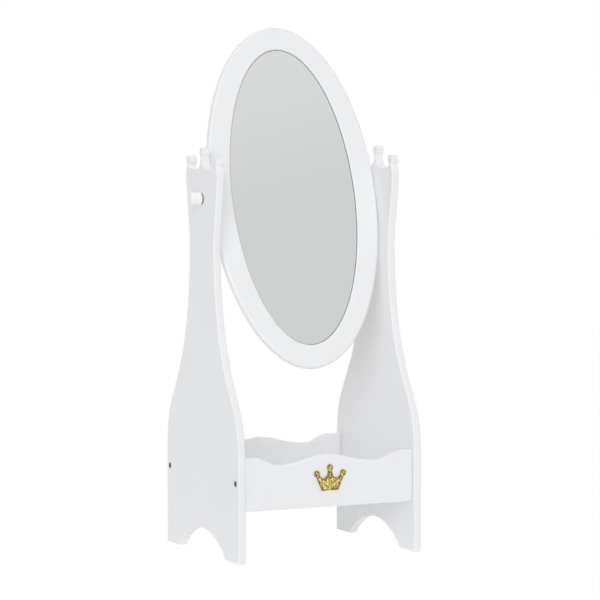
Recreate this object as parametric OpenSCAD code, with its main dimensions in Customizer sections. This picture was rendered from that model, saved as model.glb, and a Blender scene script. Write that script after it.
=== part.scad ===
// Child's dressing mirror: an oval mirror that tilts between two shaped side
// panels, above an open storage box.
// X runs to the right, Y to the back, Z up. The origin is on the floor, in the
// middle of the stand. The tilt axis runs along X.

/* [Stand] */
// Width over the two side panels
stand_w = 397.5; // [380:0.5:460]
// Depth of a side panel at the floor
foot_d = 349; // [320:1:400]
// Thickness of a side panel
side_t = 16; // [15:0.5:20]
// Height up to which a side panel's edges are straight
shoulder_z = 184; // [170:1:200]
// Height of the point where the edge turns from convex to hollow
knee_z = 359.5; // [340:0.5:380]
// Depth of a side panel at that point
knee_d = 224; // [200:1:235]
// Height of the waist, the narrowest place
waist_z = 607.5; // [590:0.5:620]
// Depth of a side panel at the waist
waist_d = 118; // [90:1:125]
// Height from which the crown's sides are straight
crown_z = 730; // [725:1:740]
// Depth of a side panel at the crown
crown_d = 151; // [135:0.5:155]

/* [Foot arch] */
// Width of the arch between the feet, at the floor
arch_w = 224; // [180:1:240]
// Height of the arch
arch_h = 49.5; // [30:0.5:65]

/* [Crown prongs] */
// Radius of the ball on top of each prong
ball_r = 9.25; // [7:0.25:10]
// How far an outer ball stands back from the crown's side
ball_in = 1.5; // [0:0.25:3]
// Half the width of the neck below a ball
neck_half = 4.2; // [4:0.1:6.5]
// Height of the outer balls' tops
outer_top_z = 783; // [776:1:790]
// Height of the middle ball's top
middle_top_z = 800; // [795:1:812]
// Height of the valleys between the prongs
valley_z = 757; // [750:1:760]

/* [Box] */
// Thickness of the front and back panels
panel_t = 16; // [15:0.5:20]
// Height of the panels' lower edge above the floor
panel_z = 100.5; // [80:0.5:120]
// Height of the front and back panels
panel_h = 102.5; // [98:0.5:110]
// How far the panels stand back from the side panels' edges
panel_inset = 7; // [1:0.5:8]
// Depth of the dips in the top edge
dip_h = 16; // [0:1:24]
// Distance from the middle to the start of a dip's floor
dip_in = 98; // [80:1:105]
// Distance from the middle to the end of a dip's floor
dip_out = 108; // [106:1:115]
// Distance from the middle to where the top edge is level again
dip_end = 156; // [140:1:165]
// Thickness of the bottom board
floor_t = 9; // [6:0.5:12]
// Distance from the panels' lower edge to the bottom board
floor_up = 8; // [6:0.5:14]
// Depth of the grooves that hold the bottom board
groove_d = 5; // [4:0.5:7]

/* [Crown ornament] */
// Thickness of the ornament
crown_t = 2.5; // [1.5:0.25:2.5]
// Height of its base above the panels' lower edge
crown_up = 32.5; // [20:0.5:36]
// Half the width of its base
crown_base_half = 17.5; // [14:0.5:20]
// How far the middle of its base is bowed up
crown_bow = 0.8; // [0.5:0.1:3]
// Radius of its balls
bead_r = 6; // [5:0.1:6.5]
// Distance of the outer balls from the middle
bead_x = 28.5; // [26:0.5:31]
// Height of the outer balls' centres above the base
bead_z = 33.8; // [32:0.1:37]
// Height of the middle ball's centre above the base
bead_top_z = 45; // [43:0.1:50]

/* [Mirror] */
// Height of the tilt axis
pivot_z = 700; // [680:1:702]
// Angle by which the mirror's top leans back
tilt = 15.6; // [0:0.1:40]
// Height of the mirror frame
frame_h = 695; // [640:5:720]
// Thickness of the mirror frame
frame_t = 18; // [18:0.5:22]
// Width of the frame's border
border = 46.5; // [40:0.5:50]
// Thickness of the lip in front of the glass
lip_t = 4; // [3:0.25:5]
// How far the glass reaches under the lip
lip_w = 8; // [6:0.5:10]
// Thickness of the glass
glass_t = 3; // [2:0.5:4]
// How far the backing board reaches past the glass
board_w = 10; // [8:0.5:12]
// Thickness of the backing board
board_t = 3; // [2:0.5:4]
// Number of screws in the backing board
screw_n = 8; // [4:1:12]
// Radius of a backing screw's thread
screw_r = 1.5; // [1.25:0.05:1.75]
// Radius of a backing screw's head
screw_head_r = 3; // [2.5:0.1:3.5]
// Height of a backing screw's head
screw_head_h = 1.6; // [1:0.1:2]
// Length of a backing screw under its head
screw_l = 8; // [7:0.5:8.5]

/* [Pivots] */
// Radius of a knob's stud
stud_r = 3; // [2.5:0.25:4]
// Thickness of the spacer between a side panel and the frame
spacer_t = 1.5; // [1:0.5:4]
// Radius of the spacer
spacer_r = 8; // [7:0.5:8.5]
// Thickness of the washer behind a knob
washer_t = 1.4; // [1:0.1:2]
// Radius of that washer
washer_r = 11; // [8:0.5:11]
// Radius of a knob
knob_r = 13.25; // [11.5:0.25:14]
// Length of a knob
knob_l = 23.5; // [18:0.5:24]
// Depth of the stud in the knob
knob_grip = 13; // [10:0.5:14]
// Length of the threaded insert in the frame
insert_l = 13; // [10:0.5:15]
// Wall of the insert
insert_wall = 1.9; // [1.5:0.1:2.5]

/* [Fixings] */
// Radius of the bolts that join the panels
bolt_r = 3; // [2.5:0.25:3.5]
// Radius of a bolt's head
bolt_head_r = 6; // [5.5:0.25:7]
// Height of a bolt's head
bolt_head_h = 2.4; // [2:0.1:3]
// Distance across the flats of the hexagon socket in a bolt's head
socket_flats = 4; // [3:0.5:5]
// Depth of that socket
socket_d = 1.8; // [1:0.1:1.8]
// Depth of a bolt's thread in the front or back panel
bolt_reach = 38; // [30:1:44]
// Height of the bolts above the panels' lower edge
bolt_up = 55; // [48:1:60]
// Radius of a barrel nut
nut_r = 5; // [4.5:0.25:5.5]
// Length of a barrel nut
nut_l = 12; // [11:0.5:13]
// Distance from a panel's end to its barrel nut's middle
nut_in = 31; // [26:1:32]
// Radius of a dowel
dowel_r = 4; // [3:0.25:5]
// Length of a dowel in the front or back panel
dowel_reach = 20; // [15:1:24]
// Length of a dowel in a side panel
dowel_seat = 10; // [8:0.5:11]
// Distance from a bolt to the dowels above and below it
dowel_gap = 25; // [20:1:28]

/* [Clearances] */
// Around a stud or bolt that runs through a hole
run_gap = 0.05; // [0.03:0.01:0.1]
// Around a bolt's shank and head, and at a dowel's ends
loose_gap = 0.3; // [0.2:0.05:0.5]
// Around glued or pressed pieces
seat_gap = 0.05; // [0.02:0.01:0.1]

/* [Hidden] */

$fn = 48;
past = 1;                                   // how far a cut runs past a face
tiny = 0.001;                               // closer than this is on the middle line
curve_n = 24;                               // steps in a long curve
mid_n = 12;                                 // steps in a middling curve
short_n = 6;                                // steps in a short curve
bead_n = 20;                                // steps in a ball's arc
oval_n = 128;                               // steps round an oval
wave_step = 6;                              // width of a step in the box panels' wavy edge

half_w = stand_w / 2;                       // outer face of a side panel
inner_x = half_w - side_t;                  // inner face of a side panel
foot_half = foot_d / 2;
knee_half = knee_d / 2;
waist_half = waist_d / 2;
crown_half = crown_d / 2;
arch_half = arch_w / 2;
arch_r = (arch_half * arch_half + arch_h * arch_h) / (2 * arch_h);
arch_sweep = asin(arch_half / arch_r);

// Curve handles of a side panel's edge
shoulder_pull = 97;
knee_slope = 0.54;                          // depth lost for each millimetre of height
knee_pull_low = 69;
knee_pull_high = 9;
waist_pull_low = 156;
waist_pull_high = 34;
crown_pull = 17;
side_drop = 8;                              // from the valleys down to the crown's straight side
neck_pull = 6;
valley_pull = 15;

// Places and curve handles of the crown ornament's edge
hollow_x = 13.4;                            // the hollow between two of its balls
hollow_z = 24.6;
arm_low = -80;                              // where an arm's edges leave an outer ball
arm_high = 200;
stem_turn = -50;                            // where the middle stem leaves its ball
arm_pull = 4;

// Small details of the fixings and knobs
nut_slot_w = 1.2;                           // screwdriver slot in a barrel nut
nut_slot_d = 1;
screw_rim = 0.4;                            // height of a backing screw's head at its rim
cross_l = 3.4;                              // cross slot in a backing screw's head
cross_w = 0.7;
knob_round = 1.4;                           // radius of a knob's rim
knob_foot_h = 1.4;                          // height of the sloping foot below that rim
washer_show = 0.5;                          // how far a washer shows round a knob's foot
knob_draft = 0.6;                           // how much a knob narrows to its outer end
knob_edge = 4.2;                            // radius of the edge round that end
knob_dome = 0.8;                            // how far the end is domed
dome_turn = 75;                             // where that edge runs into the dome
dome_pull = 3;                              // curve handles of the dome

prong_y = crown_half - ball_in - ball_r;    // an outer prong's middle
outer_ball_z = outer_top_z - ball_r;
middle_ball_z = middle_top_z - ball_r;
neck_turn = asin(neck_half / ball_r);       // where the neck meets the ball, from straight down
neck_drop = ball_r * cos(neck_turn);

panel_y = foot_half - panel_inset - panel_t / 2;     // middle of the front and back panels
panel_front = panel_y + panel_t / 2;
panel_top = panel_z + panel_h;
wave_n = floor(dip_end / wave_step);
bolt_z = panel_z + bolt_up;
floor_z = panel_z + floor_up;
floor_half_y = panel_y - panel_t / 2 + groove_d - loose_gap;
nut_x = inner_x - nut_in;

frame_a = inner_x - spacer_t;               // half the frame's width
frame_b = frame_h / 2;
open_a = frame_a - border;                  // half the opening in front of the glass
open_b = frame_b - border;
glass_a = open_a + lip_w;                   // half the rebate for the glass
glass_b = open_b + lip_w;
board_a = glass_a + board_w;                // half the rebate for the backing board
board_b = glass_b + board_w;
front_y = -frame_t / 2;                     // the frame's front face, before it is tilted
glass_y = front_y + lip_t;
board_y = glass_y + glass_t;
board_back = board_y + board_t;
screw_ring = board_w / 2;                   // the screws' distance inside the board's edge

insert_r = stud_r + insert_wall;
insert_x = frame_a - insert_l;
stud_end = half_w + washer_t + knob_grip;
knob_x = half_w + washer_t;

white = [0.93, 0.93, 0.94];
gold = [0.76, 0.63, 0.24];
beech = [0.8, 0.66, 0.45];
hardboard = [0.62, 0.5, 0.36];
silver = [0.8, 0.83, 0.85];
steel = [0.36, 0.36, 0.38];
zinc = [0.72, 0.72, 0.74];
rubber = [0.25, 0.25, 0.26];
nylon = [0.96, 0.96, 0.96];

// Points of a cubic curve, without its first point
function curve(p0, p1, p2, p3, n = curve_n) =
    [for (i = [1:n]) let (t = i / n, s = 1 - t)
        s * s * s * p0 + 3 * s * s * t * p1 + 3 * s * t * t * p2 + t * t * t * p3];

// A point on a circle
function rim(centre, r, a) = centre + r * [cos(a), sin(a)];

// Points of an arc, without its first point
function arc(centre, r, from, to, n) = [for (i = [1:n]) rim(centre, r, from + (to - from) * i / n)];

// Points of an oval of given half width and half height
function oval(a, b) = [for (i = [0:oval_n - 1]) [a * cos(360 * i / oval_n), b * sin(360 * i / oval_n)]];

// A half outline followed by its mirror image
function whole(half) =
    concat(half, [for (i = [len(half) - 1:-1:0]) if (half[i][0] > tiny) [-half[i][0], half[i][1]]]);

// A side panel's edge from the arch's top round to the crown's outer ball
function side_edge() = concat(
    [for (i = [0:curve_n]) let (a = 90 - arch_sweep * i / curve_n)
        [arch_r * cos(a), arch_h - arch_r + arch_r * sin(a)]],
    [[foot_half, 0], [foot_half, shoulder_z]],
    curve([foot_half, shoulder_z], [foot_half, shoulder_z + shoulder_pull],
          [knee_half + knee_slope * knee_pull_low, knee_z - knee_pull_low], [knee_half, knee_z]),
    curve([knee_half, knee_z], [knee_half - knee_slope * knee_pull_high, knee_z + knee_pull_high],
          [waist_half, waist_z - waist_pull_low], [waist_half, waist_z]),
    curve([waist_half, waist_z], [waist_half, waist_z + waist_pull_high],
          [crown_half, crown_z - crown_pull], [crown_half, crown_z], mid_n));

// The crown's edge from its straight side over the outer ball to the middle ball's top
function crown_edge() =
    let (outer = [prong_y, outer_ball_z], middle = [0, middle_ball_z],
         side = [crown_half, valley_z - side_drop], valley = [prong_y / 2, valley_z],
         neck_out = outer + [neck_half, -neck_drop], neck_in = outer - [neck_half, neck_drop],
         neck_mid = middle + [neck_half, -neck_drop])
    concat(
        [side],
        curve(side, side + [0, neck_pull], neck_out - [0, neck_pull], neck_out, short_n),
        arc(outer, ball_r, neck_turn - 90, 270 - neck_turn, bead_n),
        curve(neck_in, [neck_in[0], valley_z], valley + [valley_pull, 0], valley, mid_n),
        curve(valley, valley - [valley_pull, 0], [neck_mid[0], valley_z + neck_pull], neck_mid, mid_n),
        arc(middle, ball_r, neck_turn - 90, 90, bead_n / 2));

// The wavy top edge of a box panel, for a distance from the middle
function wave(x) =
    let (d = abs(x))
    d < dip_in ? panel_top - dip_h * (1 - cos(180 * d / dip_in)) / 2
    : d < dip_out ? panel_top - dip_h
    : d < dip_end ? panel_top - dip_h * (1 + cos(180 * (d - dip_out) / (dip_end - dip_out))) / 2
    : panel_top;

// A box panel's outline, which butts against the side panels
function box_outline() = whole(concat(
    [[0, panel_z], [inner_x, panel_z], [inner_x, panel_top]],
    [for (i = [wave_n:-1:0]) let (x = dip_end * i / wave_n) [x, wave(x)]]));

// The crown ornament's edge, from the middle of its base to the middle ball's top
function ornament_edge() =
    let (outer = [bead_x, bead_z], top = [0, bead_top_z], corner = [crown_base_half, 0],
         middle = [0, crown_bow], hollow = [hollow_x, hollow_z],
         arm_out = rim(outer, bead_r, arm_low), arm_in = rim(outer, bead_r, arm_high),
         stem = rim(top, bead_r, stem_turn))
    concat(
        [middle],
        curve(middle, [crown_base_half / 2, crown_bow], corner - [arm_pull, 0], corner, short_n),
        [arm_out],
        arc(outer, bead_r, arm_low, arm_high, bead_n),
        curve(arm_in, arm_in - [0, arm_pull], hollow + [arm_pull, 0], hollow, short_n),
        curve(hollow, hollow - [arm_pull, 0], [stem[0], hollow_z + arm_pull], stem, short_n),
        arc(top, bead_r, stem_turn, 90, bead_n / 2));

// Turns a shape drawn along X and Z into a board that faces -Y, from y0 to y1
module board(y0, y1) { translate([0, y1, 0]) rotate([90, 0, 0]) linear_extrude(y1 - y0) children(); }

// Places a shape in the mirror's own frame: tilt axis at the origin
module tilted() { translate([0, 0, pivot_z]) rotate([-tilt, 0, 0]) children(); }

// A round bar along X from x0 to x1
module bar(x0, x1, r) { translate([x0, 0, 0]) rotate([0, 90, 0]) cylinder(h = x1 - x0, r = r); }

// A ring along X from x0 to x1
module ring(x0, x1, r, hole_r) {
    difference() {
        bar(x0, x1, r);
        bar(x0 - past, x1 + past, hole_r);
    }
}

// Repeats a shape at each place where a panel is bolted to one side panel
module at_bolts() { for (side = [-1, 1]) translate([0, side * panel_y, bolt_z]) children(); }

// Repeats a shape above and below a bolt
module at_dowels() { for (side = [-1, 1]) translate([0, 0, side * dowel_gap]) children(); }

module right_side_panel() {
    color(white) difference() {
        translate([inner_x, 0, 0]) rotate([90, 0, 90]) linear_extrude(side_t)
            polygon(whole(concat(side_edge(), crown_edge())));
        translate([0, 0, pivot_z]) bar(inner_x - past, half_w + past, stud_r + run_gap);
        at_bolts() {
            bar(inner_x - past, half_w + past, bolt_r + loose_gap);
            bar(half_w - bolt_head_h, half_w + past, bolt_head_r + loose_gap);
            at_dowels() bar(inner_x - past, inner_x + dowel_seat + loose_gap, dowel_r + seat_gap);
        }
    }
}

module left_side_panel() { mirror([1, 0, 0]) right_side_panel(); }

// The bores in one end of a box panel, with the panel's middle at y = 0 and the bolt at z = 0
module end_bores(inner_side) {
    bar(inner_x - bolt_reach - loose_gap, inner_x + past, bolt_r + loose_gap);
    at_dowels() bar(inner_x - dowel_reach - loose_gap, inner_x + past, dowel_r + seat_gap);
    translate([nut_x, 0, 0]) rotate([-90 * inner_side, 0, 0])
        translate([0, 0, -nut_l / 2 - seat_gap]) cylinder(h = panel_t + nut_l, r = nut_r + seat_gap);
}

// A panel of the box; inner_side is 1 where the box lies towards +Y
module box_panel(inner_side) {
    y = -inner_side * panel_y;
    groove_y = y + inner_side * (panel_t / 2 - groove_d / 2);
    difference() {
        board(y - panel_t / 2, y + panel_t / 2) polygon(box_outline());
        translate([0, groove_y + inner_side * past / 2, floor_z + floor_t / 2])
            cube([2 * inner_x + 2 * past, groove_d + past, floor_t + 2 * seat_gap], center = true);
        for (end = [0, 1]) mirror([end, 0, 0]) translate([0, y, bolt_z]) end_bores(inner_side);
    }
}

module front_panel() { color(white) box_panel(1); }

module back_panel() { color(white) box_panel(-1); }

module bottom_board() {
    color(white) translate([0, 0, floor_z + floor_t / 2])
        cube([2 * (inner_x - seat_gap), 2 * floor_half_y, floor_t], center = true);
}

module crown_ornament() {
    color(gold) translate([0, 0, panel_z + crown_up])
        board(-panel_front - crown_t, -panel_front) polygon(whole(ornament_edge()));
}

// The four dowels of a box panel whose middle is at a given y
module dowels(y) {
    for (end = [0, 1]) mirror([end, 0, 0]) translate([0, y, bolt_z])
        at_dowels() bar(inner_x - dowel_reach, inner_x + dowel_seat, dowel_r);
}

module front_dowels() { color(beech) dowels(-panel_y); }

module back_dowels() { color(beech) dowels(panel_y); }

// One bolt from its head at the side panel's outer face
module panel_bolt() {
    difference() {
        union() {
            bar(half_w - bolt_head_h, half_w, bolt_head_r);
            bar(inner_x - bolt_reach, half_w - bolt_head_h, bolt_r);
        }
        translate([half_w - socket_d, 0, 0]) rotate([0, 90, 0])
            cylinder(h = socket_d + past, r = socket_flats / 2 / cos(30), $fn = 6);
    }
}

module right_panel_bolts() { color(steel) at_bolts() panel_bolt(); }

module left_panel_bolts() { mirror([1, 0, 0]) right_panel_bolts(); }

// One barrel nut: a short cylinder across the panel, with a threaded cross hole and a slot
module barrel_nut(inner_side) {
    difference() {
        rotate([-90 * inner_side, 0, 0]) translate([0, 0, -nut_l / 2]) difference() {
            cylinder(h = nut_l, r = nut_r);
            translate([0, 0, nut_l]) cube([2 * nut_r + past, nut_slot_w, 2 * nut_slot_d], center = true);
        }
        bar(-nut_r - past, nut_r + past, bolt_r + run_gap);
    }
}

// The two barrel nuts of a box panel whose middle is at a given y
module barrel_nuts(y, inner_side) {
    for (side = [-1, 1]) translate([side * nut_x, y, bolt_z]) barrel_nut(inner_side);
}

module front_barrel_nuts() { color(zinc) barrel_nuts(-panel_y, 1); }

module back_barrel_nuts() { color(zinc) barrel_nuts(panel_y, -1); }

// A point on the ring of backing screws
function screw_point(i) =
    let (a = 360 * (i + 0.5) / screw_n)
    [(board_a - screw_ring) * cos(a), (board_b - screw_ring) * sin(a)];

// Repeats a shape at each backing screw, with the board's back at y = 0
module at_screws() {
    for (i = [0:screw_n - 1]) let (p = screw_point(i)) translate([p[0], board_back, p[1]]) children();
}

module oval_frame() {
    color(white) tilted() difference() {
        board(front_y, -front_y) polygon(oval(frame_a, frame_b));
        board(front_y - past, glass_y + past) polygon(oval(open_a, open_b));
        board(glass_y, board_y + past) polygon(oval(glass_a + seat_gap, glass_b + seat_gap));
        board(board_y, -front_y + past) polygon(oval(board_a + seat_gap, board_b + seat_gap));
        for (side = [0, 1]) mirror([side, 0, 0])
            bar(insert_x - loose_gap, frame_a + past, insert_r + seat_gap);
        at_screws() rotate([90, 0, 0]) cylinder(h = screw_l + loose_gap, r = screw_r + seat_gap);
    }
}

module mirror_glass() {
    color(silver) tilted() board(glass_y, board_y) polygon(oval(glass_a, glass_b));
}

module backing_board() {
    color(hardboard) tilted() difference() {
        board(board_y, board_back) polygon(oval(board_a, board_b));
        at_screws() translate([0, past, 0]) rotate([90, 0, 0])
            cylinder(h = board_t + 2 * past, r = screw_r + seat_gap);
    }
}

// A backing screw's head, as radius and height: a low rim and a dome
function screw_head_outline() = concat([[0, 0], [screw_head_r, 0]],
    [for (i = [0:short_n]) let (a = 90 * i / short_n)
        [screw_head_r * cos(a), screw_rim + (screw_head_h - screw_rim) * sin(a)]]);

// One screw that points to -Y, with a rounded head and a cross slot
module backing_screw() {
    difference() {
        union() {
            rotate([90, 0, 0]) cylinder(h = screw_l, r = screw_r);
            rotate([-90, 0, 0]) rotate_extrude() polygon(screw_head_outline());
        }
        for (turn = [0, 90]) rotate([0, turn, 0]) translate([0, screw_head_h, 0])
            cube([cross_l, screw_head_h, cross_w], center = true);
    }
}

module backing_screws() {
    color(zinc) tilted() at_screws() backing_screw();
}

module right_frame_insert() { color(zinc) tilted() ring(insert_x, frame_a, insert_r, stud_r + run_gap); }

module left_frame_insert() { mirror([1, 0, 0]) right_frame_insert(); }

module right_spacer_washer() { color(nylon) tilted() ring(frame_a, inner_x, spacer_r, stud_r + run_gap); }

module left_spacer_washer() { mirror([1, 0, 0]) right_spacer_washer(); }

module right_knob_washer() { color(rubber) tilted() ring(half_w, knob_x, washer_r, stud_r + run_gap); }

module left_knob_washer() { mirror([1, 0, 0]) right_knob_washer(); }

module right_stud() { color(zinc) tilted() bar(insert_x, stud_end, stud_r); }

module left_stud() { mirror([1, 0, 0]) right_stud(); }

// A knob's outline, as radius and distance from the washer: a sloping foot, a rounded rim, a side
// that narrows a little, a rounded edge and a shallow dome
function knob_outline() =
    let (rim_x = knob_foot_h + knob_round, edge = knob_r - knob_draft - knob_edge,
         edge_x = knob_l - knob_dome - knob_edge, dome = rim([edge, edge_x], knob_edge, dome_turn))
    concat(
        [[0, 0], [washer_r - washer_show, 0]],
        arc([knob_r - knob_round, rim_x], knob_round, -60, 0, short_n),
        arc([edge, edge_x], knob_edge, -dome_turn / short_n, dome_turn, short_n + 1),
        curve(dome, rim(dome, dome_pull, dome_turn + 90), [dome_pull, knob_l], [0, knob_l], short_n));

module right_knob() {
    color(white) tilted() difference() {
        translate([knob_x, 0, 0]) rotate([0, 90, 0]) rotate_extrude() polygon(knob_outline());
        bar(knob_x - past, stud_end, stud_r + seat_gap);
    }
}

module left_knob() { mirror([1, 0, 0]) right_knob(); }

left_side_panel();
right_side_panel();
front_panel();
back_panel();
bottom_board();
crown_ornament();
front_dowels();
back_dowels();
left_panel_bolts();
right_panel_bolts();
front_barrel_nuts();
back_barrel_nuts();
oval_frame();
mirror_glass();
backing_board();
backing_screws();
left_frame_insert();
right_frame_insert();
left_spacer_washer();
right_spacer_washer();
left_knob_washer();
right_knob_washer();
left_stud();
right_stud();
left_knob();
right_knob();
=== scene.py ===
import math
import random
import bmesh
import bpy
from mathutils import Matrix, Vector


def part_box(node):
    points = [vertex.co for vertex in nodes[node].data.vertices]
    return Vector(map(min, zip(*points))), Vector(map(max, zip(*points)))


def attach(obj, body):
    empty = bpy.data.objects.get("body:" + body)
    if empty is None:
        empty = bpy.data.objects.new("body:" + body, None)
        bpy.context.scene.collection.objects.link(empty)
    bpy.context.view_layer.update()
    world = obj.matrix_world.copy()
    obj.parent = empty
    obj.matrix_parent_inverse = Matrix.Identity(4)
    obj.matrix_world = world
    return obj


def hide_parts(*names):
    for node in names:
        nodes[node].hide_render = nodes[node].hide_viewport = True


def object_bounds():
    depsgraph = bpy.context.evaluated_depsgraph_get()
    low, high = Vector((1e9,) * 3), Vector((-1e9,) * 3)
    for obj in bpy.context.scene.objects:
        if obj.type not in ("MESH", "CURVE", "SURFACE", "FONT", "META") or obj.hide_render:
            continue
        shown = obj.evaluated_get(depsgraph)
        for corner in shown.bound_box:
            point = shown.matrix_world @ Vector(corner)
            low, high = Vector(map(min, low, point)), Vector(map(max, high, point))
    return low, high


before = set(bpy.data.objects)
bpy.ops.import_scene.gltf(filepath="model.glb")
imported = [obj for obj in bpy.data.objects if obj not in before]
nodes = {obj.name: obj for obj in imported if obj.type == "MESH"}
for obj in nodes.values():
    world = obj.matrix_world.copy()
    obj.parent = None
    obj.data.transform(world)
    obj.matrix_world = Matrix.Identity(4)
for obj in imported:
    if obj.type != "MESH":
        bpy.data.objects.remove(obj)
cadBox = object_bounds()
scene = bpy.context.scene
collection = scene.collection

# Camera, in metres and degrees
cameraSetup = {
    "place": (-2.71315, -5.70208, 0.96155),
    "turn": 25.5765,                         # to the right of straight back
    "down": 4.2296,
    "lens": 190.64,                          # on a sensor 36 mm wide
}
eye = bpy.data.cameras.new("camera")
eye.sensor_width = 36
eye.lens = cameraSetup["lens"]
camera = bpy.data.objects.new("camera", eye)
collection.objects.link(camera)
camera.location = cameraSetup["place"]
camera.rotation_euler = (math.radians(90 - cameraSetup["down"]), 0, -math.radians(cameraSetup["turn"]))
scene.camera = camera
scene.view_settings.view_transform = "Standard"
print("camera placed")


# A socket that Python's operators work on: each operation adds a Math node
class Wire:
    def __init__(self, graph, socket):
        self.graph, self.socket = graph, socket

    def math(self, operation, *values):
        return self.graph.node("ShaderNodeMath", {"operation": operation}, dict(enumerate(values)))

    def __add__(self, other):
        return self.math("ADD", self, other)

    def __radd__(self, other):
        return self.math("ADD", other, self)

    def __sub__(self, other):
        return self.math("SUBTRACT", self, other)

    def __rsub__(self, other):
        return self.math("SUBTRACT", other, self)

    def __mul__(self, other):
        return self.math("MULTIPLY", self, other)

    def __rmul__(self, other):
        return self.math("MULTIPLY", other, self)

    def __truediv__(self, other):
        return self.math("DIVIDE", self, other)

    def __rtruediv__(self, other):
        return self.math("DIVIDE", other, self)

    def __pow__(self, other):
        return self.math("POWER", self, other)

    def __rpow__(self, other):
        return self.math("POWER", other, self)

    def above(self, edge, soft):             # 0 below the edge, 1 above it, with a soft step between
        return self.graph.node("ShaderNodeMapRange", {"interpolation_type": "SMOOTHSTEP"},
                               {0: self, 1: edge - soft / 2, 2: edge + soft / 2})


# The nodes of one material or world
class Graph:
    def __init__(self, owner):
        owner.use_nodes = True
        self.tree = owner.node_tree
        self.tree.nodes.clear()

    def node(self, kind, settings=None, inputs=None, output=0):
        made = self.tree.nodes.new(kind)
        for name, value in (settings or {}).items():
            if name == "stops":
                self.fillRamp(made.color_ramp, value)
            else:
                setattr(made, name, value)
        for name, value in (inputs or {}).items():
            if isinstance(value, Wire):
                self.tree.links.new(value.socket, made.inputs[name])
            else:
                made.inputs[name].default_value = value
        return Wire(self, made.outputs[output]) if len(made.outputs) else made

    def fillRamp(self, ramp, stops):
        while len(ramp.elements) < len(stops):
            ramp.elements.new(1)
        for element, (place, colour) in zip(ramp.elements, stops):
            element.position = place
            element.color = (*colour, 1)

    def place(self):                         # a point of the piece, in metres
        return self.node("ShaderNodeTexCoord", output="Object")

    def apart(self, vector):                 # the three numbers of a vector
        made = self.node("ShaderNodeSeparateXYZ", inputs={0: vector}).socket.node
        return [Wire(self, socket) for socket in made.outputs]

    def noise(self, where, scale, detail=2, roughness=0.5):
        return self.node("ShaderNodeTexNoise", {}, {"Vector": where, "Scale": scale, "Detail": detail,
                                                    "Roughness": roughness})

    def mix(self, share, first, second):     # blends two colours
        return self.node("ShaderNodeMix", {"data_type": "RGBA"}, {0: share, 6: first, 7: second}, output=2)

    def bump(self, height, depth, normal=None):
        inputs = {"Height": height, "Distance": depth, "Strength": 1.0}
        if normal is not None:
            inputs["Normal"] = normal
        return self.node("ShaderNodeBump", {}, inputs)


def newMaterial(name):
    material = bpy.data.materials.new(name)
    return material, Graph(material)


def surface(graph, **sockets):               # the shader that every material ends in
    names = {"colour": "Base Color", "roughness": "Roughness", "metallic": "Metallic", "normal": "Normal"}
    inputs = {names[key]: value for key, value in sockets.items()}
    shader = graph.node("ShaderNodeBsdfPrincipled", {}, inputs)
    graph.node("ShaderNodeOutputMaterial", {}, {"Surface": shader})


def rgb(red, green, blue):                   # a colour as seen on a screen, 0 to 255, made linear
    return tuple(((c / 255 + 0.055) / 1.055) ** 2.4 for c in (red, green, blue)) + (1,)


# Light: an even white room, a large soft key lamp in front on the left, and fill lamps without shadows
studio = {
    "around": 0.52,                          # light from every side
    "reflectLow": rgb(241, 241, 242),        # what glossy things see low down
    "reflectHigh": rgb(252, 252, 253),       # and high up
    "reflectTurn": 0.45,                     # where the one passes into the other
    "reflectSoft": 0.05,                     # and how gently
    "floorSize": 9.0,
    "floorColour": rgb(246, 246, 246),
    "floorGlow": 1.01,                       # strength of the plain white that the camera sees
    "floorShine": 0.97,                      # and its share
}
lamps = (                                    # where each shines from, how strongly, and how wide it is
    {"name": "keyLamp", "place": (-0.53, -0.81, 0.25), "light": 0.38, "wide": 50, "shadow": True},
    {"name": "backLamp", "place": (0.66, 0.66, 0.34), "light": 0.35, "wide": 20, "shadow": False},
    {"name": "topLamp", "place": (0, 0, 1), "light": 0.19, "wide": 20, "shadow": False},
)


def makeStudio():
    world = bpy.data.worlds.new("studio")
    scene.world = world
    graph = Graph(world)
    towards = graph.node("ShaderNodeTexCoord", output="Generated")
    light = graph.node("ShaderNodeBackground", {}, {"Color": (1, 1, 1, 1), "Strength": studio["around"]})
    height = graph.apart(towards)[2]
    seen = graph.node("ShaderNodeBackground", {}, {"Color": (1, 1, 1, 1), "Strength": 1.0})
    share = height.above(studio["reflectTurn"], studio["reflectSoft"])
    tone = graph.mix(share, studio["reflectLow"], studio["reflectHigh"])
    mirrored = graph.node("ShaderNodeBackground", {}, {"Color": tone, "Strength": 1.0})
    rays = graph.node("ShaderNodeLightPath").socket.node
    byCamera, byGloss, byGlass = [Wire(graph, rays.outputs[name]) for name in
                                  ("Is Camera Ray", "Is Glossy Ray", "Is Transmission Ray")]
    shiny = graph.node("ShaderNodeMixShader", {}, {0: byGloss + byGlass, 1: light, 2: mirrored})
    shown = graph.node("ShaderNodeMixShader", {}, {0: byCamera, 1: shiny, 2: seen})
    graph.node("ShaderNodeOutputWorld", {}, {"Surface": shown})


def makeLamps():
    for lamp in lamps:
        sun = bpy.data.lights.new(lamp["name"], "SUN")
        sun.energy = lamp["light"] * math.pi
        sun.angle = math.radians(lamp["wide"])
        sun.use_shadow = lamp["shadow"]
        holder = bpy.data.objects.new(lamp["name"], sun)
        collection.objects.link(holder)
        holder.rotation_euler = Vector(lamp["place"]).to_track_quat("Z", "Y").to_euler()
        holder.visible_glossy = False


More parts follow.
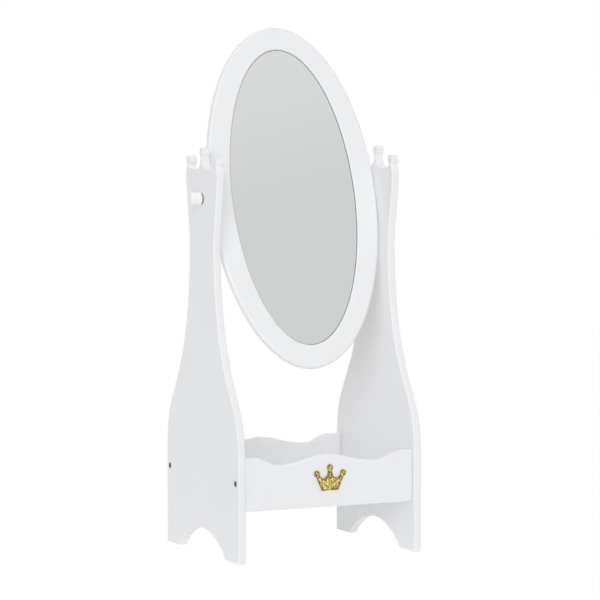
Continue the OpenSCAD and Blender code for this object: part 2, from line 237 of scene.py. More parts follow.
def makeFloor():
    bpy.ops.mesh.primitive_plane_add(size=studio["floorSize"])
    floor = bpy.context.object
    floor.name = "floor"
    material, graph = newMaterial("floor")
    rays = graph.node("ShaderNodeLightPath").socket.node
    byCamera, byGloss = [Wire(graph, rays.outputs[name]) for name in ("Is Camera Ray", "Is Glossy Ray")]
    white = graph.node("ShaderNodeEmission", {}, {"Color": (1, 1, 1, 1), "Strength": studio["floorGlow"]})
    matt = graph.node("ShaderNodeBsdfDiffuse", {}, {"Color": studio["floorColour"]})
    direct = byCamera + byGloss
    share = direct.math("MINIMUM", direct, 1.0) * studio["floorShine"]
    both = graph.node("ShaderNodeMixShader", {}, {0: share, 1: matt, 2: white})
    graph.node("ShaderNodeOutputMaterial", {}, {"Surface": both})
    floor.data.materials.append(material)


makeStudio()
makeLamps()
makeFloor()
print("studio made")


# Helpers for modelling
mergeGap = 0.00001                           # points nearer than this are one
past = 0.001                                 # how far a cutter reaches past a surface
finerCuts = 8                                # cuts in an edge whose rounding changes along it
mostSides = 100                              # of a hole that is filled
cornerTurn = 60                              # degrees; an outline turns by more than this at a corner
parallel = 0.99                              # cosine above which an edge runs along a direction
straightOn = 0.999                           # cosine above which a face looks straight along it
frontFace = 0.9                              # cosine above which a face is the front or back of a board
sideFace = 0.5                               # and below which it is a side


def activate(piece):
    bpy.ops.object.select_all(action="DESELECT")
    piece.select_set(True)
    bpy.context.view_layer.objects.active = piece


def edit(piece):
    activate(piece)
    bpy.ops.object.mode_set(mode="EDIT")
    bpy.ops.mesh.select_mode(type="VERT")
    bpy.ops.mesh.select_all(action="DESELECT")


def doneEditing():
    bpy.ops.object.mode_set(mode="OBJECT")


def choose(piece, kind, wanted):             # kind is FACE or EDGE; selects what wanted() says yes to
    bpy.ops.mesh.select_mode(type=kind)
    bpy.ops.mesh.select_all(action="DESELECT")
    inside = bmesh.from_edit_mesh(piece.data)
    inside.normal_update()
    items = inside.faces if kind == "FACE" else inside.edges
    picked = [item for item in items if wanted(item)]
    for item in picked:
        item.select_set(True)
    bmesh.update_edit_mesh(piece.data)


def middle(edge):
    return (edge.verts[0].co + edge.verts[1].co) / 2


def turnBetween(edge):                       # degrees between the two faces at an edge
    return math.degrees(edge.calc_face_angle(0))


def along(edge, direction):
    return abs((edge.verts[1].co - edge.verts[0].co).normalized().dot(direction)) > parallel


def roundEdges(piece, wanted, radius, segments=4):
    choose(piece, "EDGE", wanted)
    bpy.ops.mesh.bevel(offset=radius, segments=segments, profile=0.5, affect="EDGES",
                       clamp_overlap=False, loop_slide=True)


# Rounds edges by a radius that changes from place to place
def roundEdgesBy(piece, wanted, radiusAt, segments=4):
    shape = bmesh.new()
    shape.from_mesh(piece.data)
    weight = shape.edges.layers.float.new("bevel_weight_edge")
    chosen = {edge: radiusAt(middle(edge)) for edge in shape.edges if wanted(edge)}
    biggest = max(chosen.values())
    for edge, radius in chosen.items():
        edge[weight] = radius / biggest
    shape.to_mesh(piece.data)
    shape.free()
    modifier = piece.modifiers.new("round", "BEVEL")
    modifier.limit_method = "WEIGHT"
    modifier.width = biggest
    modifier.segments = segments
    modifier.use_clamp_overlap = False
    activate(piece)
    bpy.ops.object.modifier_apply(modifier=modifier.name)


def smooth(piece, angle=35):                 # round faces look round and flat ones flat
    activate(piece)
    bpy.ops.object.shade_smooth_by_angle(angle=math.radians(angle))
    modifier = piece.modifiers.new("normals", "WEIGHTED_NORMAL")
    modifier.keep_sharp = True
    modifier.weight = 100
    bpy.ops.object.modifier_apply(modifier=modifier.name)


def copyOf(node, name):                      # a merged copy of a CAD node, in place
    piece = bpy.data.objects.new(name, nodes[node].data.copy())
    collection.objects.link(piece)
    piece.data.materials.clear()
    activate(piece)
    bpy.ops.mesh.customdata_custom_splitnormals_clear()
    edit(piece)
    bpy.ops.mesh.select_all(action="SELECT")
    bpy.ops.mesh.remove_doubles(threshold=mergeGap)
    doneEditing()
    return piece


# A board cut to the outline of one flat face of a CAD node: the face is kept, cleared of its holes,
# drawn out to the board's thickness and rounded all round. rounding gives the radius at a place, corner
# the radius of the outline's corners, and finer says which edges of the outline are cut up first
def boardFrom(node, name, facing, rounding, corner=None, finer=None):
    piece = copyOf(node, name)
    low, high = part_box(node)
    facing = Vector(facing)
    thick = abs((high - low).dot(facing))
    outside = max(low.dot(facing), high.dot(facing))
    edit(piece)
    choose(piece, "FACE", lambda face: face.normal.dot(facing) < straightOn
           or face.calc_center_median().dot(facing) < outside - mergeGap)
    bpy.ops.mesh.delete(type="FACE")
    bpy.ops.mesh.select_all(action="SELECT")
    bpy.ops.mesh.fill_holes(sides=mostSides)
    bpy.ops.mesh.select_all(action="SELECT")
    bpy.ops.mesh.dissolve_faces()
    if finer:
        bpy.ops.mesh.delete(type="ONLY_FACE")
        choose(piece, "EDGE", finer)
        bpy.ops.mesh.subdivide(number_cuts=finerCuts)
        bpy.ops.mesh.select_all(action="SELECT")
        bpy.ops.mesh.edge_face_add()
    bpy.ops.mesh.select_mode(type="FACE")
    bpy.ops.mesh.select_all(action="SELECT")
    bpy.ops.mesh.extrude_region_move(TRANSFORM_OT_translate={"value": -thick * facing})
    bpy.ops.mesh.select_all(action="SELECT")
    bpy.ops.mesh.normals_make_consistent(inside=False)
    if corner:
        roundEdges(piece, lambda edge: turnBetween(edge) > cornerTurn and along(edge, facing), corner)
    doneEditing()

    def outline(edge):
        across = [abs(face.normal.dot(facing)) for face in edge.link_faces]
        return max(across) > frontFace and min(across) < sideFace

    roundEdgesBy(piece, outline, rounding)
    return piece


def cut(piece, cutters):                     # takes the cutters' shapes out of a piece
    for cutter in cutters:
        modifier = piece.modifiers.new("cut", "BOOLEAN")
        modifier.operation = "DIFFERENCE"
        modifier.object = cutter
        modifier.solver = "EXACT"
        activate(piece)
        bpy.ops.object.modifier_apply(modifier=modifier.name)
        bpy.data.objects.remove(cutter)


def bar(radius, start, end, sides=48):       # a round bar between two points
    start, end = Vector(start), Vector(end)
    span = end - start
    bpy.ops.mesh.primitive_cylinder_add(vertices=sides, radius=radius, depth=span.length,
                                        location=(start + end) / 2,
                                        rotation=span.to_track_quat("Z", "Y").to_euler())
    bpy.ops.object.transform_apply(location=True, rotation=True, scale=True)
    return bpy.context.object


def block(low, high):                        # a box between two corners
    low, high = Vector(low), Vector(high)
    bpy.ops.mesh.primitive_cube_add(size=1, location=(low + high) / 2, scale=high - low)
    bpy.ops.object.transform_apply(location=True, rotation=True, scale=True)
    return bpy.context.object


def joined(parts, name):                     # many pieces made one
    bpy.ops.object.select_all(action="DESELECT")
    for part in parts:
        part.select_set(True)
    bpy.context.view_layer.objects.active = parts[0]
    bpy.ops.object.join()
    parts[0].name = name
    return parts[0]


# Places that several pieces share
pivot = sum(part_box("right_stud"), Vector()) / 2
pivot.x = 0
glassFace = max(nodes["mirror_glass"].data.polygons, key=lambda face: -face.normal.y * face.area)
tilt = math.asin(glassFace.normal.z)         # how far the mirror leans back
toMirror = Matrix.Rotation(tilt, 4, "X") @ Matrix.Translation(-pivot)
fromMirror = toMirror.inverted()


def mirrorBox(node):                         # a node's corners in the mirror's own upright frame
    points = [toMirror @ corner.co for corner in nodes[node].data.vertices]
    return [Vector([pick(p[axis] for p in points) for axis in range(3)]) for pick in (min, max)]


print("tilt", round(math.degrees(tilt), 2))


# White satin paint, rolled on: fine dimples, slow waves and a breath of unevenness in its tone
paint = {
    "colour": rgb(240, 241, 242),
    "shade": rgb(237, 238, 240),
    "roughness": 0.4,
    "roughnessSpread": 0.12,
    "cloud": 0.09,                           # size of the uneven patches, in metres
    "dimple": 0.0013,                        # size of the roller's dimples
    "dimpleDepth": 0.00002,
    "wave": 0.011,
    "waveDepth": 0.00006,
}


def makePaint():
    material, graph = newMaterial("white_paint")
    where = graph.place()
    tone = graph.mix(graph.noise(where, 1 / paint["cloud"]), paint["colour"], paint["shade"])
    dimples = graph.noise(where, 1 / paint["dimple"], detail=3)
    waves = graph.bump(graph.noise(where, 1 / paint["wave"], detail=1), paint["waveDepth"])
    surface(graph, colour=tone, roughness=paint["roughness"] + paint["roughnessSpread"] * (dimples - 0.5),
            normal=graph.bump(dimples, paint["dimpleDepth"], waves))
    return material


# Gold glitter: cells about as big as a flake have a tone each, and the tones gather in patches; painted
# shade darkens the colour near the plate's outline
gold = {
    "flakeTone": 0.0011,                     # size of a cell of one tone
    "patch": 0.003,                          # size of the patches
    "level": 0.57,                           # the middle tone, from 0, darkest, to 1
    "patchContrast": 1.8,
    "flakeContrast": 0.6,
    "borderShade": 0.38,                     # how much darker the border is, as painted shade of the rounded edge
    "stops": ((0.0, rgb(70, 54, 18)[:3]), (0.25, rgb(128, 104, 40)[:3]), (0.5, rgb(212, 183, 76)[:3]),
              (0.75, rgb(242, 220, 120)[:3]), (1.0, rgb(255, 252, 226)[:3])),
    "roughness": 0.32,
    "roughnessSpread": 0.3,
    "metallic": 0.55,
    "metallicSpread": 0.4,
}


def makeGold():
    material, graph = newMaterial("gold_glitter")
    where = graph.place()
    cell = graph.node("ShaderNodeTexVoronoi", {"feature": "F1"},
                      {"Vector": where, "Scale": 1 / gold["flakeTone"], "Randomness": 1.0}, output="Color")
    draw = graph.apart(cell)
    patch = graph.noise(where, 1 / gold["patch"], detail=1)
    inside = graph.node("ShaderNodeAttribute", {"attribute_name": "inside"}, output="Fac")
    level = gold["level"] + gold["patchContrast"] * (patch - 0.5) + gold["flakeContrast"] * (draw[0] - 0.5)
    # painted shade: the colour darkens towards the plate's outline and in its narrow parts
    level = level - gold["borderShade"] * (1 - inside)           # inside is 0 at the plate's outline
    tone = graph.node("ShaderNodeValToRGB", {"stops": gold["stops"]}, {0: level})
    surface(graph, colour=tone, roughness=gold["roughness"] + gold["roughnessSpread"] * (draw[1] - 0.5),
            metallic=gold["metallic"] + gold["metallicSpread"] * (draw[2] - 0.5))
    return material


# Silvered glass: clear and bright in front, a dark line of painted shade and painted reflection of the lip's
# wall where it meets the lip, lacquered behind
silver = {
    "tint": rgb(219, 220, 220),
    "roughness": 0.012,
    "rim": 0.0011,                           # width of the dark line of painted shade along the lip
    "paintedShadeTint": rgb(92, 96, 98),
    "lacquer": rgb(96, 104, 102),
    "lacquerRough": 0.5,
    "silvering": 0.0005,                     # depth behind the front where lacquer takes over
    "lip": 0.008,                            # how far the glass reaches under the lip
}


def makeSilver():
    material, graph = newMaterial("mirror_glass")
    low, high = mirrorBox("mirror_glass")
    halfWidth, halfHeight = high.x - silver["lip"], high.z - silver["lip"]
    own = graph.node("ShaderNodeMapping", {"vector_type": "POINT"},
                     {"Vector": graph.place(), "Location": toMirror.translation, "Rotation": (tilt, 0, 0)})
    x, y, z = graph.apart(own)
    ring = ((x / halfWidth) ** 2 + (z / halfHeight) ** 2) ** 0.5
    slope = ((x / halfWidth ** 2) ** 2 + (z / halfHeight ** 2) ** 2) ** 0.5
    inside = (1 - ring) * ring / slope       # distance from the lip, in metres
    # painted shade and painted reflection of the lip's wall: the colour turns dark within this width of the
    # lip
    clear = inside.above(silver["rim"], silver["rim"])
    behind = y.above(low.y + silver["silvering"], silver["silvering"])
    tint = graph.mix(behind, graph.mix(clear, silver["paintedShadeTint"], silver["tint"]), silver["lacquer"])
    surface(graph, colour=tint, metallic=1 - behind,
            roughness=silver["roughness"] + silver["lacquerRough"] * behind)
    return material


# Hardboard: pressed brown fibres
hardboard = {
    "light": rgb(150, 116, 80),
    "dark": rgb(112, 82, 53),
    "fibre": 0.0016,
    "fibreShare": 0.85,                      # of the unevenness in its tone; the rest is the pressing's
    "pressing": 0.03,
    "soft": 0.4,                             # how gently the tones pass into each other
    "roughness": 0.6,
    "roughnessSpread": 0.2,
    "depth": 0.00005,
}


def makeHardboard():
    material, graph = newMaterial("hardboard")
    where = graph.place()
    fibres = graph.noise(where, 1 / hardboard["fibre"], detail=5, roughness=0.65)
    clouds = graph.noise(where, 1 / hardboard["pressing"], detail=3)
    uneven = hardboard["fibreShare"] * fibres + (1 - hardboard["fibreShare"]) * clouds
    share = uneven.above(0.5, hardboard["soft"])
    surface(graph, colour=graph.mix(share, hardboard["dark"], hardboard["light"]),
            roughness=hardboard["roughness"] + hardboard["roughnessSpread"] * fibres,
            normal=graph.bump(fibres, hardboard["depth"]))
    return material


# Beech: straight fine grain along the dowel
beech = {
    "light": rgb(222, 190, 142),
    "dark": rgb(190, 150, 104),
    "grain": 0.0006,
    "stretch": 0.06,                         # how much slower the grain changes along the dowel
    "soft": 0.4,
    "roughness": 0.55,
    "roughnessSpread": 0.2,
    "depth": 0.00003,
}


def makeBeech():
    material, graph = newMaterial("dowel_wood")
    where = graph.node("ShaderNodeMapping", {}, {"Vector": graph.place(), "Scale": (beech["stretch"], 1, 1)})
    grain = graph.noise(where, 1 / beech["grain"], detail=4, roughness=0.6)
    surface(graph, colour=graph.mix(grain.above(0.5, beech["soft"]), beech["dark"], beech["light"]),
            roughness=beech["roughness"] + beech["roughnessSpread"] * grain,
            normal=graph.bump(grain, beech["depth"]))
    return material


# Plated steel, with fine uneven marks
metals = {
    "zinc": {"light": rgb(206, 208, 212), "dark": rgb(172, 174, 180), "roughness": 0.26, "mark": 0.0009},
    "bolt_metal": {"light": rgb(104, 104, 108), "dark": rgb(74, 74, 78), "roughness": 0.34, "mark": 0.0012},
}
plating = {"soft": 0.5, "roughnessSpread": 0.2, "depth": 0.00001}


def makeMetal(name):
    look = metals[name]
    material, graph = newMaterial(name)
    marks = graph.noise(graph.place(), 1 / look["mark"], detail=4, roughness=0.6)
    tone = graph.mix(marks.above(0.5, plating["soft"]), look["dark"], look["light"])
    surface(graph, colour=tone, metallic=1.0,
            roughness=look["roughness"] + plating["roughnessSpread"] * (marks - 0.5),
            normal=graph.bump(marks, plating["depth"]))
    return material


# Plastics and rubber
plastics = {
    "knob_plastic": {"colour": rgb(244, 244, 245), "roughness": 0.24, "grain": 0.004, "depth": 0.00002},
    "nylon": {"colour": rgb(236, 236, 232), "roughness": 0.45, "grain": 0.001, "depth": 0.00001},
    "dark_rubber": {"colour": rgb(62, 62, 64), "roughness": 0.7, "grain": 0.0005, "depth": 0.00002},
}
moulding = {"duller": 0.96, "roughnessSpread": 0.1}


def makePlastic(name):
    look = plastics[name]
    material, graph = newMaterial(name)
    grain = graph.noise(graph.place(), 1 / look["grain"], detail=3)
    duller = tuple(c * moulding["duller"] for c in look["colour"][:3]) + (1,)
    surface(graph, colour=graph.mix(grain, look["colour"], duller),
            roughness=look["roughness"] + moulding["roughnessSpread"] * (grain - 0.5),
            normal=graph.bump(grain, look["depth"]))
    return material


finishes = {
    "white_paint": makePaint(),
    "gold_glitter": makeGold(),
    "mirror_glass": makeSilver(),
    "hardboard": makeHardboard(),
    "dowel_wood": makeBeech(),
}
finishes.update({name: makeMetal(name) for name in metals})
finishes.update({name: makePlastic(name) for name in plastics})
print("materials made:", ", ".join(finishes))


def dress(piece, body, slot, *replaced):     # finish, body and CAD nodes of a new piece
    piece.data.materials.clear()
    piece.data.materials.append(finishes[slot])
    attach(piece, body)
    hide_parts(*replaced)


def boltPlaces(node):                        # radius of the heads, and each bolt's Y and Z
    low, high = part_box(node)
    radius = (high.z - low.z) / 2
    return radius, [(y, (low.z + high.z) / 2) for y in (low.y + radius, high.y - radius)]


# Side panels: cut to shape, edges rounded by a router, bored for the bolts and the pivot
sidePanel = {
    "round": 0.0035,
    "prongRound": 0.0016,                    # the same on the crown's prongs
    "prongs": 0.749,                         # height from which that holds
    "blend": 0.018,                          # height over which the one passes into the other
    "soleRound": 0.0016,                     # the same under the feet and round the arch
    "soleTop": 0.06,                         # height up to which that holds
    "soleInset": 0.005,                      # how far the feet's upright edges stay out of it
    "crownReach": 0.02,                      # how far below the prongs a crown's straight side starts
    "crownShort": 0.01,                      # shorter edges are no such side
    "headRoom": 0.0003,                      # round a bolt's head
    "headDepth": 0.0024,
}


def panelRound(place):
    if place.z < sidePanel["soleTop"] and abs(place.y) < cadBox[1][1] - sidePanel["soleInset"]:
        return sidePanel["soleRound"]
    share = max(0, min(1, (sidePanel["prongs"] - place.z) / sidePanel["blend"]))
    return sidePanel["prongRound"] + share * (sidePanel["round"] - sidePanel["prongRound"])


def crownSide(edge):                         # the straight edges below the outer prongs
    bottom, top = sorted(vertex.co.z for vertex in edge.verts)
    return (bottom > sidePanel["prongs"] - sidePanel["crownReach"] and top < sidePanel["prongs"] + mergeGap
            and top - bottom > sidePanel["crownShort"])


def makeSidePanel(side, word):
    node = word + "_side_panel"
    piece = boardFrom(node, word + "SidePanel", (side, 0, 0), panelRound, finer=crownSide)
    low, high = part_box(node)
    outer, inner = (high.x, low.x) if side > 0 else (low.x, high.x)
    headRadius, places = boltPlaces(word + "_panel_bolts")
    studLow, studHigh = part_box(word + "_stud")
    studRadius = (studHigh.z - studLow.z) / 2            # the bolts are as thick as the studs
    holes = [bar(studRadius, (outer + side * past, pivot.y, pivot.z),
                 (inner - side * past, pivot.y, pivot.z))]
    for y, z in places:
        holes.append(bar(headRadius + sidePanel["headRoom"], (outer + side * past, y, z),
                         (outer - side * sidePanel["headDepth"], y, z)))
        holes.append(bar(studRadius, (outer, y, z), (inner - side * past, y, z)))
    cut(piece, holes)
    smooth(piece)
    dress(piece, "stand", "white_paint", node)


for side, word in ((-1, "left"), (1, "right")):
    makeSidePanel(side, word)
print("side panels made")


# Front and back of the box: wavy top edge, groove for the bottom board, bores for the barrel nuts
boxPanel = {
    "round": 0.0035,
    "endRound": 0.0026,                      # where a panel meets a side panel
    "corner": 0.0036,                        # radius of its outline's corners
    "seam": 0.0004,                          # how far a panel's end stays from a side panel
    "nutRoom": 0.0001,                       # round a barrel nut
}


def makeBoxPanel(word, facing):
    node = word + "_panel"
    low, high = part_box(node)

    def rounding(place):
        share = max(0, min(1, (high.x - abs(place.x)) / boxPanel["corner"]))
        return boxPanel["endRound"] + share * (boxPanel["round"] - boxPanel["endRound"])

    piece = boardFrom(node, word + "Panel", (0, facing, 0), rounding, boxPanel["corner"])
    edit(piece)
    bpy.ops.mesh.select_all(action="SELECT")
    bpy.ops.transform.resize(value=(1 - boxPanel["seam"] / high.x, 1, 1), center_override=(0, 0, 0))
    doneEditing()
    boardLow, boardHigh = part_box("bottom_board")
    groove = block((low.x - past, boardLow.y, boardLow.z), (high.x + past, boardHigh.y, boardHigh.z))
    nutLow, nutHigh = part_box(word + "_barrel_nuts")
    nutRadius, nutMiddle = (nutHigh.z - nutLow.z) / 2, (nutLow.z + nutHigh.z) / 2
    start, end = (low.y - past, nutHigh.y) if facing > 0 else (high.y + past, nutLow.y)
    bores = [bar(nutRadius + boxPanel["nutRoom"], (x, start, nutMiddle), (x, end, nutMiddle))
             for x in (nutLow.x + nutRadius, nutHigh.x - nutRadius)]
    cut(piece, [groove] + bores)
    smooth(piece)
    dress(piece, "stand", "white_paint", node)


makeBoxPanel("front", -1)
makeBoxPanel("back", 1)
print("box panels made")


# Crown ornament: a thin plate with rounded edges, strewn with flakes of glitter
ornament = {
    "round": 0.0007,
    "flakes": 2400,
    "flakeSize": (0.0008, 0.0017),           # across a flake
    "flakeThick": 0.1,                       # share of its size
    "flakeTop": 0.8,                         # its top's size against its foot's
    "lean": 22,                              # degrees that a flake may lean
    "border": 0.0022,                        # width of the plate's outer ring
    "shaded": 0.0042,                        # width of the darker border of painted shade
    "seed": 7,
    "turn": 6.28,                            # a flake is turned by up to this, in radians
    "behind": 0.3,                           # faces whose normal's Y is above this get no flakes
}


def makePlate():
    plate = boardFrom("crown_ornament", "crownPlate", (0, -1, 0), lambda place: ornament["round"])
    front = max(plate.data.polygons, key=lambda face: -face.normal.y * face.area)
    outline = [plate.data.vertices[i].co.xz for i in front.vertices]
    edit(plate)
    choose(plate, "FACE", lambda face: face.normal.y < -straightOn)
    bpy.ops.mesh.inset(thickness=ornament["border"], depth=0)
    doneEditing()
    smooth(plate)
    markInside(plate.data, [insideShare(outline, vertex.co) for vertex in plate.data.vertices])
    return plate, outline


def insideShare(outline, place):             # 0 at the outline, 1 past the border
    gap = math.inf
    for start, end in zip(outline, outline[1:] + outline[:1]):
        span = end - start
        share = max(0, min(1, (place.xz - start).dot(span) / span.length_squared))
        gap = min(gap, (start + span * share - place.xz).length)
    return min(1, gap / ornament["shaded"])


def markInside(mesh, values):
    mesh.attributes.new("inside", "FLOAT", "POINT").data.foreach_set("value", values)


def makeFlakes(plate, outline, name):
    draw = random.Random(ornament["seed"])
    bpy.ops.mesh.primitive_cylinder_add(vertices=6, radius=0.5, depth=1)
    flake = bpy.context.object
    edit(flake)
    choose(flake, "FACE", lambda face: face.normal.z > frontFace)
    smaller = ornament["flakeTop"]
    bpy.ops.transform.resize(value=(smaller, smaller, 1), center_override=(0, 0, 0))
    doneEditing()
    ground = {face.index for face in plate.data.polygons if face.normal.y < ornament["behind"]}
    plate.data.calc_loop_triangles()
    triangles = [t for t in plate.data.loop_triangles if t.polygon_index in ground]
    corners = [[plate.data.vertices[i].co for i in t.vertices] for t in triangles]
    chosen = draw.choices(range(len(triangles)), [t.area for t in triangles], k=ornament["flakes"])
    copies = []
    for i in chosen:
        a, b, c = corners[i]
        u, v = sorted((draw.random(), draw.random()))
        point = a * u + b * (v - u) + c * (1 - v)
        size = draw.uniform(*ornament["flakeSize"])
        leaning = math.radians(draw.uniform(0, ornament["lean"]))
        towards = math.cos(draw.uniform(0, ornament["turn"])), math.sin(draw.uniform(0, ornament["turn"])), 0
        lean = Matrix.Rotation(leaning, 4, Vector(towards))
        spin = Matrix.Rotation(draw.uniform(0, ornament["turn"]), 4, "Z")
        up = triangles[i].normal.to_track_quat("Z", "Y").to_matrix().to_4x4()
        scaling = Matrix.Diagonal((size, size, size * ornament["flakeThick"], 1))
        mesh = flake.data.copy()
        mesh.transform(Matrix.Translation(point) @ up @ lean @ spin @ scaling)
        markInside(mesh, [insideShare(outline, point)] * len(mesh.vertices))
        copies.append(bpy.data.objects.new("flake", mesh))
        collection.objects.link(copies[-1])
    bpy.data.objects.remove(flake)
    return joined(copies, name)


plate, outline = makePlate()
flakes = makeFlakes(plate, outline, "crownGlitter")
dress(plate, "stand", "gold_glitter", "crown_ornament")
dress(flakes, "stand", "gold_glitter", "crown_ornament")
print("crown ornament made")


# Oval frame: its section is drawn out ring by ring, in the mirror's own upright frame
ovalFrame = {
    "sides": 192,
    "outerRound": 0.005,
    "openingRound": 0.003,
    "backRound": 0.004,
    "rebateRound": 0.001,
    "onRing": 0.002,                         # how far off an ellipse a point may be, as a share
    "segments": 5,
}


def makeOvalFrame():
    low, high = mirrorBox("oval_frame")
    glassLow, glassHigh = mirrorBox("mirror_glass")
    boardLow, boardHigh = mirrorBox("backing_board")
    openWidth, openHeight = glassHigh.x - silver["lip"], glassHigh.z - silver["lip"]
    rings = [                                # half width, half height and depth of each ring
        (high.x, high.z, low.y), (high.x, high.z, high.y),
        (boardHigh.x, boardHigh.z, high.y), (boardHigh.x, boardHigh.z, boardLow.y),
        (glassHigh.x, glassHigh.z, boardLow.y), (glassHigh.x, glassHigh.z, glassLow.y),
        (openWidth, openHeight, glassLow.y), (openWidth, openHeight, low.y),
    ]
    bpy.ops.mesh.primitive_circle_add(vertices=ovalFrame["sides"], radius=1, rotation=(math.pi / 2, 0, 0))
    piece = bpy.context.object
    piece.name = "ovalFrame"
    piece.scale = (rings[0][0], rings[0][1], 1)
    piece.location = (0, rings[0][2], 0)
    bpy.ops.object.transform_apply(location=True, rotation=True, scale=True)
    edit(piece)
    bpy.ops.mesh.select_all(action="SELECT")
    for (a, b, y), (nextA, nextB, nextY) in zip(rings, rings[1:]):
        bpy.ops.mesh.extrude_edges_move(TRANSFORM_OT_translate={"value": (0, nextY - y, 0)})
        bpy.ops.transform.resize(value=(nextA / a, 1, nextB / b), center_override=(0, nextY, 0))
    choose(piece, "EDGE", lambda edge: edge.is_boundary)
    bpy.ops.mesh.bridge_edge_loops()
    bpy.ops.mesh.select_all(action="SELECT")
    bpy.ops.mesh.normals_make_consistent(inside=False)
    for ring, radius in ((0, "outerRound"), (1, "backRound"), (2, "rebateRound"), (7, "openingRound")):
        a, b, y = rings[ring]

        def onRing(edge):
            return all(abs(v.co.y - y) < mergeGap
                       and abs((v.co.x / a) ** 2 + (v.co.z / b) ** 2 - 1) < ovalFrame["onRing"]
                       for v in edge.verts)

        roundEdges(piece, onRing, ovalFrame[radius], ovalFrame["segments"])
    doneEditing()
    piece.data.transform(fromMirror)
    insertLow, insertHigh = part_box("right_frame_insert")
    radius, end = (insertHigh.y - insertLow.y) / 2, insertHigh.x + past
    cut(piece, [bar(radius, (side * insertLow.x, pivot.y, pivot.z), (side * end, pivot.y, pivot.z))
                for side in (-1, 1)])
    smooth(piece)
    dress(piece, "mirror", "white_paint", "oval_frame")


makeOvalFrame()
print("oval frame made")


# Turned pieces: an outline of radius and distance along a level axis is spun round it
def turned(name, outline, origin, axis, steps=48):
    origin, axis = Vector(origin), Vector(axis)
    across = Vector((0, 0, 1))
    mesh = bpy.data.meshes.new(name)
    mesh.from_pydata([origin + axis * distance + across * radius for radius, distance in outline],
                     [(i, i + 1) for i in range(len(outline) - 1)], [])
    piece = bpy.data.objects.new(name, mesh)
    collection.objects.link(piece)
    edit(piece)
    bpy.ops.mesh.select_all(action="SELECT")
    bpy.ops.mesh.spin(steps=steps, angle=2 * math.pi, center=origin, axis=axis)
    bpy.ops.mesh.select_all(action="SELECT")
    bpy.ops.mesh.remove_doubles(threshold=mergeGap / 10)
    bpy.ops.mesh.normals_make_consistent(inside=False)
    doneEditing()
    return piece


def arc(radius, distance, curl, start, end, count=5):       # an arc's points, its angles from the radius
    return [(radius + curl * math.cos(math.radians(start + (end - start) * i / count)),
             distance + curl * math.sin(math.radians(start + (end - start) * i / count)))
            for i in range(count + 1)]


def ringOutline(inner, outer, start, end, curl):            # a closed section with four rounded corners
    points = []
    for radius, distance, angle in ((outer - curl, start + curl, -90), (outer - curl, end - curl, 0),
                                    (inner + curl, end - curl, 90), (inner + curl, start + curl, 180)):
        points += arc(radius, distance, curl, angle, angle + 90, count=3)
    return points + points[:1]


def curve(a, b, c, d, count):                # points of a cubic curve, without its first point
    return [tuple((1 - t) ** 3 * p + 3 * (1 - t) ** 2 * t * q + 3 * (1 - t) * t * t * r + t ** 3 * s
                  for p, q, r, s in zip(a, b, c, d)) for t in (i / count for i in range(1, count + 1))]


# Knobs and the washers either side of a side panel
knob = {
    "washerShow": 0.0005,                    # how far the washer shows round the knob's foot
    "footHeight": 0.0014,
    "rim": 0.0014,
    "draft": 0.0006,                         # how much it narrows to its outer end
    "edge": 0.0042,                          # radius of the edge round that end
    "dome": 0.0008,                          # how far the end is domed
    "domeTurn": 75,                          # degrees of the edge before the dome starts
    "domePull": 0.003,
    "steps": 64,
}
washer = {"round": 0.00035}


def makeKnob(side, word):
    low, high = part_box(word + "_knob")
    washerLow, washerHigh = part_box(word + "_knob_washer")
    radius, length = (high.z - low.z) / 2, high.x - low.x
    foot = (washerHigh.z - washerLow.z) / 2 - knob["washerShow"]
    inward = radius - knob["draft"] - knob["edge"]
    outline = [(0, 0), (foot, 0)]
    outline += arc(radius - knob["rim"], knob["footHeight"] + knob["rim"], knob["rim"], -60, 0, count=6)
    outline += arc(inward, length - knob["dome"] - knob["edge"], knob["edge"], 0, knob["domeTurn"], count=10)
    reach, height = outline[-1]
    turn = math.radians(knob["domeTurn"] + 90)
    handle = (reach + knob["domePull"] * math.cos(turn), height + knob["domePull"] * math.sin(turn))
    outline += curve((reach, height), handle, (knob["domePull"], length), (0, length), count=8)
    start = low.x if side > 0 else -high.x
    piece = turned(word + "Knob", outline, (side * start, pivot.y, pivot.z), (side, 0, 0), knob["steps"])
    smooth(piece, angle=50)
    dress(piece, word + "_knob", "knob_plastic", word + "_knob")


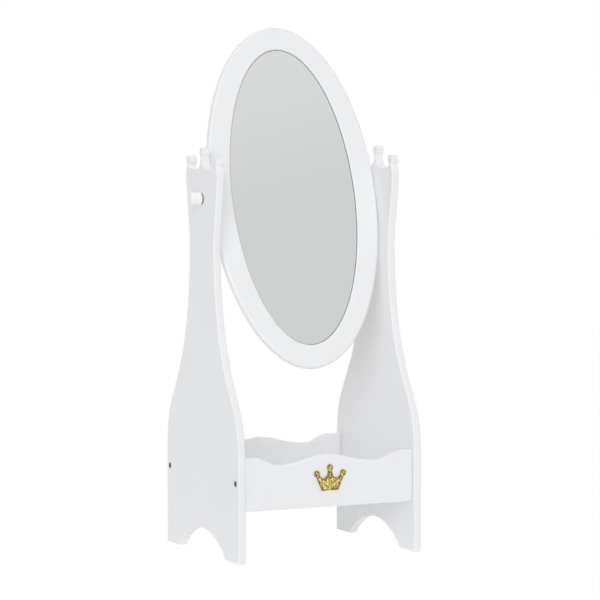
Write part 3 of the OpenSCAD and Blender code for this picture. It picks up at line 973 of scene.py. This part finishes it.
def makeWasher(side, word, kind, body, slot):
    node = word + kind
    low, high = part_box(node)
    studLow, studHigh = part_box(word + "_stud")
    tall, deep = (high.z - low.z) / 2, high.x - low.x
    start = low.x if side > 0 else -high.x
    outline = ringOutline((studHigh.y - studLow.y) / 2, tall, 0, deep, washer["round"])
    name = word + kind.title().replace("_", "")
    piece = turned(name, outline, (side * start, pivot.y, pivot.z), (side, 0, 0))
    smooth(piece)
    dress(piece, body, slot, node)


for side, word in ((-1, "left"), (1, "right")):
    makeKnob(side, word)
    makeWasher(side, word, "_knob_washer", word + "_washer", "dark_rubber")
    makeWasher(side, word, "_spacer_washer", "mirror", "nylon")
print("knobs and washers made")


# Bolts: low heads with a rounded rim and a hexagon socket
bolt = {
    "headHeight": 0.0024,
    "rim": 0.0007,
    "shank": 0.003,
    "socket": 0.00231,                       # radius over the corners
    "socketDepth": 0.0018,
}


def makeBolts(side, word):
    node = word + "_panel_bolts"
    low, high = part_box(node)
    headRadius, places = boltPlaces(node)
    outer = max(abs(low.x), abs(high.x))
    reach = high.x - low.x
    outline = [(0, reach), (bolt["shank"], reach), (bolt["shank"], bolt["headHeight"]),
               (headRadius, bolt["headHeight"])]
    outline += arc(headRadius - bolt["rim"], bolt["rim"], bolt["rim"], 0, -90) + [(0, 0)]
    made = []
    for y, z in places:
        piece = turned("bolt", outline, (side * outer, y, z), (-side, 0, 0))
        cut(piece, [bar(bolt["socket"], (side * (outer + past), y, z),
                        (side * (outer - bolt["socketDepth"]), y, z), sides=6)])
        made.append(piece)
    bolts = joined(made, word + "Bolts")
    smooth(bolts)
    dress(bolts, "stand", "bolt_metal", node)


for side, word in ((-1, "left"), (1, "right")):
    makeBolts(side, word)
print("bolts made")


# CAD pieces that keep their shape get their finish
kept = {
    "bottom_board": "white_paint", "front_dowels": "dowel_wood", "back_dowels": "dowel_wood",
    "front_barrel_nuts": "zinc", "back_barrel_nuts": "zinc", "mirror_glass": "mirror_glass",
    "backing_board": "hardboard", "backing_screws": "zinc", "left_frame_insert": "zinc",
    "right_frame_insert": "zinc", "left_stud": "zinc", "right_stud": "zinc",
}
for node, slot in kept.items():
    for place in nodes[node].material_slots:
        place.material = finishes[slot]
print("CAD pieces finished:", len(kept))
